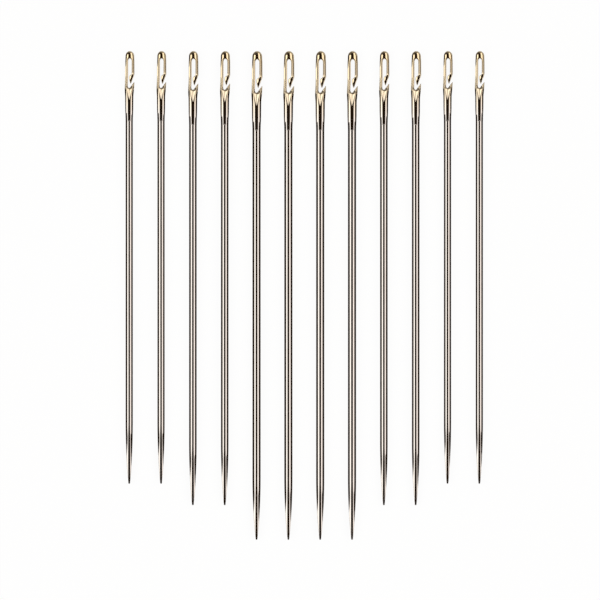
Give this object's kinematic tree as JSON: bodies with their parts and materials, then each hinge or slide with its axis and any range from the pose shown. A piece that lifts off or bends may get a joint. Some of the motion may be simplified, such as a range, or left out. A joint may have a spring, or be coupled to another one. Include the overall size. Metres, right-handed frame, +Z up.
{
  "type": "self-threading needle set",
  "caption": "Loose hand sewing needles in graded lengths: slim pointed steel shanks with gold-plated heads whose long eye opens through a side notch for the thread.",
  "frame": {"origin": "on the surface that the needles lie on, at the middle of the row and half way along the longest needles", "axes": "+X across the row, +Y along the needles towards the eyes, +Z up, square to the surface"},
  "size_m": [0.0302, 0.041, 0.0007],
  "materials": {
    "gold_plate": "polished",
    "nickel_steel": "polished"
  },
  "bodies": {
    "short_needle_1": {"short_needle_1_eye": "gold_plate", "short_needle_1_shank": "nickel_steel"},
    "short_needle_2": {"short_needle_2_eye": "gold_plate", "short_needle_2_shank": "nickel_steel"},
    "medium_needle_1": {"medium_needle_1_eye": "gold_plate", "medium_needle_1_shank": "nickel_steel"},
    "medium_needle_2": {"medium_needle_2_eye": "gold_plate", "medium_needle_2_shank": "nickel_steel"},
    "long_needle_1": {"long_needle_1_eye": "gold_plate", "long_needle_1_shank": "nickel_steel"},
    "long_needle_2": {"long_needle_2_eye": "gold_plate", "long_needle_2_shank": "nickel_steel"},
    "long_needle_3": {"long_needle_3_eye": "gold_plate", "long_needle_3_shank": "nickel_steel"},
    "long_needle_4": {"long_needle_4_eye": "gold_plate", "long_needle_4_shank": "nickel_steel"},
    "medium_needle_3": {"medium_needle_3_eye": "gold_plate", "medium_needle_3_shank": "nickel_steel"},
    "medium_needle_4": {"medium_needle_4_eye": "gold_plate", "medium_needle_4_shank": "nickel_steel"},
    "short_needle_3": {"short_needle_3_eye": "gold_plate", "short_needle_3_shank": "nickel_steel"},
    "short_needle_4": {"short_needle_4_eye": "gold_plate", "short_needle_4_shank": "nickel_steel"}
  },
  "joints": [
    {"name": "short_needle_1_lift", "type": "slide", "parent": "long_needle_2", "child": "short_needle_1", "axis": [0, 0, 1], "range_m": [0, 0.03]},
    {"name": "short_needle_2_lift", "type": "slide", "parent": "long_needle_2", "child": "short_needle_2", "axis": [0, 0, 1], "range_m": [0, 0.03]},
    {"name": "medium_needle_1_lift", "type": "slide", "parent": "long_needle_2", "child": "medium_needle_1", "axis": [0, 0, 1], "range_m": [0, 0.03]},
    {"name": "medium_needle_2_lift", "type": "slide", "parent": "long_needle_2", "child": "medium_needle_2", "axis": [0, 0, 1], "range_m": [0, 0.03]},
    {"name": "long_needle_1_lift", "type": "slide", "parent": "long_needle_2", "child": "long_needle_1", "axis": [0, 0, 1], "range_m": [0, 0.03]},
    {"name": "long_needle_3_lift", "type": "slide", "parent": "long_needle_2", "child": "long_needle_3", "axis": [0, 0, 1], "range_m": [0, 0.03]},
    {"name": "long_needle_4_lift", "type": "slide", "parent": "long_needle_2", "child": "long_needle_4", "axis": [0, 0, 1], "range_m": [0, 0.03]},
    {"name": "medium_needle_3_lift", "type": "slide", "parent": "long_needle_2", "child": "medium_needle_3", "axis": [0, 0, 1], "range_m": [0, 0.03]},
    {"name": "medium_needle_4_lift", "type": "slide", "parent": "long_needle_2", "child": "medium_needle_4", "axis": [0, 0, 1], "range_m": [0, 0.03]},
    {"name": "short_needle_3_lift", "type": "slide", "parent": "long_needle_2", "child": "short_needle_3", "axis": [0, 0, 1], "range_m": [0, 0.03]},
    {"name": "short_needle_4_lift", "type": "slide", "parent": "long_needle_2", "child": "short_needle_4", "axis": [0, 0, 1], "range_m": [0, 0.03]}
  ]
}
